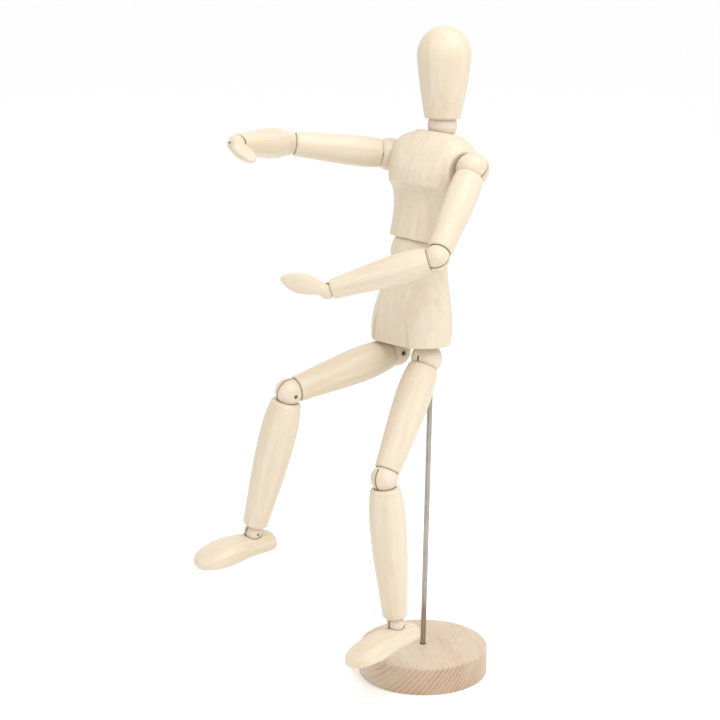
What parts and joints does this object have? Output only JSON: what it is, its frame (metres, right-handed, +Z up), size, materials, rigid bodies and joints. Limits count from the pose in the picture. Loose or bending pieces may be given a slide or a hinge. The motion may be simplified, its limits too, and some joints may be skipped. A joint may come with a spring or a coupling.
{
  "type": "artist mannequin",
  "caption": "Jointed wooden artist mannequin with ball-jointed head, waist, arms and legs, held over a round wooden base by a thin steel rod.",
  "frame": {"origin": "centre of the base's flat underside, on the floor", "axes": "+Z up; the figure faces -Y, its left side is towards +X and the support rod stands at the centre of the base"},
  "size_m": [0.1001, 0.1463, 0.3278],
  "materials": {
    "figure_wood": "fine sanded, thin satin varnish",
    "base_wood": "sanded and oiled, satin",
    "rod_steel": "drawn, bright",
    "spring_steel": "plain wire",
    "pin_wood": "dark, unvarnished"
  },
  "bodies": {
    "base": {"base": "base_wood"},
    "rod": {"support_rod": "rod_steel"},
    "pelvis": {"pelvis": "figure_wood", "hip_spring": "spring_steel"},
    "waist_spring": {"waist_spring": "spring_steel"},
    "waist_ball": {"waist_ball": "figure_wood"},
    "chest": {"chest": "figure_wood", "shoulder_spring": "spring_steel"},
    "neck_spring": {"neck_spring": "spring_steel"},
    "neck_ball": {"neck_ball": "figure_wood"},
    "head": {"head": "figure_wood"},
    "left_shoulder_ball": {"left_shoulder_ball": "figure_wood", "left_shoulder_pin": "pin_wood"},
    "left_upper_arm": {"left_upper_arm": "figure_wood", "left_upper_arm_spring": "spring_steel"},
    "left_elbow_ball": {"left_elbow_ball": "figure_wood", "left_elbow_pin": "pin_wood"},
    "left_forearm": {"left_forearm": "figure_wood", "left_forearm_spring": "spring_steel"},
    "left_wrist_link": {"left_wrist_link": "spring_steel"},
    "left_hand": {"left_hand": "figure_wood", "left_wrist_pin": "pin_wood"},
    "left_hip_ball": {"left_hip_ball": "figure_wood", "left_hip_pin": "pin_wood"},
    "left_thigh": {"left_thigh": "figure_wood", "left_thigh_spring": "spring_steel"},
    "left_knee_ball": {"left_knee_ball": "figure_wood", "left_knee_pin": "pin_wood"},
    "left_shin": {"left_shin": "figure_wood", "left_shin_spring": "spring_steel"},
    "left_ankle_ball": {"left_ankle_ball": "figure_wood", "left_ankle_pin": "pin_wood"},
    "left_foot": {"left_foot": "figure_wood", "left_foot_eye": "spring_steel"},
    "right_shoulder_ball": {"right_shoulder_ball": "figure_wood", "right_shoulder_pin": "pin_wood"},
    "right_upper_arm": {"right_upper_arm": "figure_wood", "right_upper_arm_spring": "spring_steel"},
    "right_elbow_ball": {"right_elbow_ball": "figure_wood", "right_elbow_pin": "pin_wood"},
    "right_forearm": {"right_forearm": "figure_wood", "right_forearm_spring": "spring_steel"},
    "right_wrist_link": {"right_wrist_link": "spring_steel"},
    "right_hand": {"right_hand": "figure_wood", "right_wrist_pin": "pin_wood"},
    "right_hip_ball": {"right_hip_ball": "figure_wood", "right_hip_pin": "pin_wood"},
    "right_thigh": {"right_thigh": "figure_wood", "right_thigh_spring": "spring_steel"},
    "right_knee_ball": {"right_knee_ball": "figure_wood", "right_knee_pin": "pin_wood"},
    "right_shin": {"right_shin": "figure_wood", "right_shin_spring": "spring_steel"},
    "right_ankle_ball": {"right_ankle_ball": "figure_wood", "right_ankle_pin": "pin_wood"},
    "right_foot": {"right_foot": "figure_wood", "right_foot_eye": "spring_steel"}
  },
  "joints": [
    {"name": "support_rod_turn", "type": "hinge", "parent": "base", "child": "rod", "pos_m": [0, 0, 0.014], "axis": [0.0175, 0.0122, 0.9998], "continuous": true},
    {"name": "pelvis_height", "type": "slide", "parent": "rod", "child": "pelvis", "axis": [0.0175, 0.0122, 0.9998], "range_m": [-0.003, 0.012]},
    {"name": "waist_turn", "type": "hinge", "parent": "pelvis", "child": "waist_spring", "pos_m": [0.0007, -0.0057, 0.2198], "axis": [0, 0, 1], "range_deg": [-65, 55]},
    {"name": "waist_side_lean", "type": "hinge", "parent": "waist_spring", "child": "waist_ball", "pos_m": [0.0007, -0.0057, 0.2198], "axis": [-0.0872, 0.9962, 0], "range_deg": [-15.5, 8.5]},
    {"name": "waist_forward_lean", "type": "hinge", "parent": "waist_ball", "child": "chest", "pos_m": [0.0007, -0.0057, 0.2198], "axis": [0.9943, 0.087, -0.061], "range_deg": [-13.7, 31.3]},
    {"name": "neck_turn", "type": "hinge", "parent": "chest", "child": "neck_spring", "pos_m": [0.00325, 0.00774, 0.28048], "axis": [0.0426, 0.2004, 0.9788], "range_deg": [-80, 80]},
    {"name": "neck_tilt", "type": "hinge", "parent": "neck_spring", "child": "neck_ball", "pos_m": [0.00325, 0.00774, 0.28048], "axis": [-0.0974, 0.9758, -0.1956], "range_deg": [-15.2, 20.8]},
    {"name": "head_nod", "type": "hinge", "parent": "neck_ball", "child": "head", "pos_m": [0.00325, 0.00774, 0.28048], "axis": [0.9952, 0.0967, -0.0132], "range_deg": [-42.6, 23.4]},
    {"name": "left_shoulder_turn", "type": "hinge", "parent": "chest", "child": "left_shoulder_ball", "pos_m": [0.02904, 0.0023, 0.26199], "axis": [-0.9943, -0.087, 0.061], "range_deg": [-10.2, 75.8]},
    {"name": "left_shoulder_bend", "type": "hinge", "parent": "left_shoulder_ball", "child": "left_upper_arm", "pos_m": [0.02904, 0.0023, 0.26199], "axis": [-0.1045, 0.6944, -0.7119], "range_deg": [-127.5, 2.5]},
    {"name": "left_elbow_turn", "type": "hinge", "parent": "left_upper_arm", "child": "left_elbow_ball", "pos_m": [0.04122, -0.03298, 0.22578], "axis": [-0.2343, 0.6785, 0.6962], "range_deg": [-65.6, 154.4]},
    {"name": "left_elbow_bend", "type": "hinge", "parent": "left_elbow_ball", "child": "left_forearm", "pos_m": [0.04122, -0.03298, 0.22578], "axis": [-0.2805, 0.6385, -0.7167], "range_deg": [-130.7, 11.3]},
    {"name": "left_wrist_turn", "type": "hinge", "parent": "left_forearm", "child": "left_wrist_link", "pos_m": [0.00428, -0.06736, 0.2096], "axis": [0.6971, 0.6488, 0.3052], "range_deg": [-151.7, 148.3]},
    {"name": "left_wrist_bend", "type": "hinge", "parent": "left_wrist_link", "child": "left_hand", "pos_m": [0.00428, -0.06736, 0.2096], "axis": [-0.7067, 0.5498, 0.4454], "range_deg": [-102.3, 21.7]},
    {"name": "left_hip_turn", "type": "hinge", "parent": "pelvis", "child": "left_hip_ball", "pos_m": [0.0117, -0.0102, 0.1695], "axis": [0, 0, 1], "range_deg": [-35.2, 48.8]},
    {"name": "left_hip_bend", "type": "hinge", "parent": "left_hip_ball", "child": "left_thigh", "pos_m": [0.0117, -0.0102, 0.1695], "axis": [0.981, 0.1942, 0], "range_deg": [-46.1, 15.9]},
    {"name": "left_knee_turn", "type": "hinge", "parent": "left_thigh", "child": "left_knee_ball", "pos_m": [0.01852, -0.04467, 0.11721], "axis": [-0.1083, 0.5471, 0.83], "range_deg": [-84.6, 95.4]},
    {"name": "left_knee_bend", "type": "hinge", "parent": "left_knee_ball", "child": "left_shin", "pos_m": [0.01852, -0.04467, 0.11721], "axis": [0.9918, 0.1167, 0.0525], "range_deg": [-106.9, 33.1]},
    {"name": "left_ankle_turn", "type": "hinge", "parent": "left_shin", "child": "left_ankle_ball", "pos_m": [0.02192, -0.0402, 0.04312], "axis": [-0.0457, -0.0601, 0.9971], "range_deg": [-84.6, 95.4]},
    {"name": "left_ankle_bend", "type": "hinge", "parent": "left_ankle_ball", "child": "left_foot", "pos_m": [0.02192, -0.0402, 0.04312], "axis": [0.9986, 0.0229, 0.0471], "range_deg": [-35.8, 48.2]},
    {"name": "right_shoulder_turn", "type": "hinge", "parent": "chest", "child": "right_shoulder_ball", "pos_m": [-0.02326, -0.00227, 0.2652], "axis": [0.9943, 0.087, -0.061], "range_deg": [-44.4, 55.6]},
    {"name": "right_shoulder_bend", "type": "hinge", "parent": "right_shoulder_ball", "child": "right_upper_arm", "pos_m": [-0.02326, -0.00227, 0.2652], "axis": [0.0499, 0.125, 0.9909], "range_deg": [-107.1, 22.9]},
    {"name": "right_elbow_turn", "type": "hinge", "parent": "right_upper_arm", "child": "right_elbow_ball", "pos_m": [-0.04725, -0.04788, 0.27216], "axis": [0.4613, 0.8771, -0.1338], "range_deg": [-165, 165]},
    {"name": "right_elbow_bend", "type": "hinge", "parent": "right_elbow_ball", "child": "right_forearm", "pos_m": [-0.04725, -0.04788, 0.27216], "axis": [0.0499, 0.125, 0.9909], "range_deg": [-122, 20]},
    {"name": "right_wrist_turn", "type": "hinge", "parent": "right_forearm", "child": "right_wrist_link", "pos_m": [-0.02531, -0.09587, 0.2771], "axis": [-0.414, 0.9055, -0.0933], "range_deg": [-147.8, 147.2]},
    {"name": "right_wrist_bend", "type": "hinge", "parent": "right_wrist_link", "child": "right_hand", "pos_m": [-0.02531, -0.09587, 0.2771], "axis": [0.3254, 0.243, 0.9138], "range_deg": [-108.4, 15.6]},
    {"name": "right_hip_turn", "type": "hinge", "parent": "pelvis", "child": "right_hip_ball", "pos_m": [-0.0103, -0.0102, 0.1695], "axis": [0, 0, 1], "range_deg": [-51, 33]},
    {"name": "right_hip_bend", "type": "hinge", "parent": "right_hip_ball", "child": "right_thigh", "pos_m": [-0.0103, -0.0102, 0.1695], "axis": [0.9877, -0.1564, 0], "range_deg": [-3.2, 118.8]},
    {"name": "right_knee_turn", "type": "hinge", "parent": "right_thigh", "child": "right_knee_ball", "pos_m": [-0.01997, -0.07124, 0.15726], "axis": [0.1535, 0.9689, 0.1942], "range_deg": [-101.8, 78.2]},
    {"name": "right_knee_bend", "type": "hinge", "parent": "right_knee_ball", "child": "right_shin", "pos_m": [-0.01997, -0.07124, 0.15726], "axis": [0.973, -0.1139, -0.2006], "range_deg": [-139, 3]},
    {"name": "right_ankle_turn", "type": "hinge", "parent": "right_shin", "child": "right_ankle_ball", "pos_m": [-0.036, -0.08179, 0.08549], "axis": [0.2158, 0.142, 0.9661], "range_deg": [-92.5, 87.5]},
    {"name": "right_ankle_bend", "type": "hinge", "parent": "right_ankle_ball", "child": "right_foot", "pos_m": [-0.036, -0.08179, 0.08549], "axis": [0.9757, -0.0709, -0.2075], "range_deg": [-46.4, 37.6]}
  ]
}
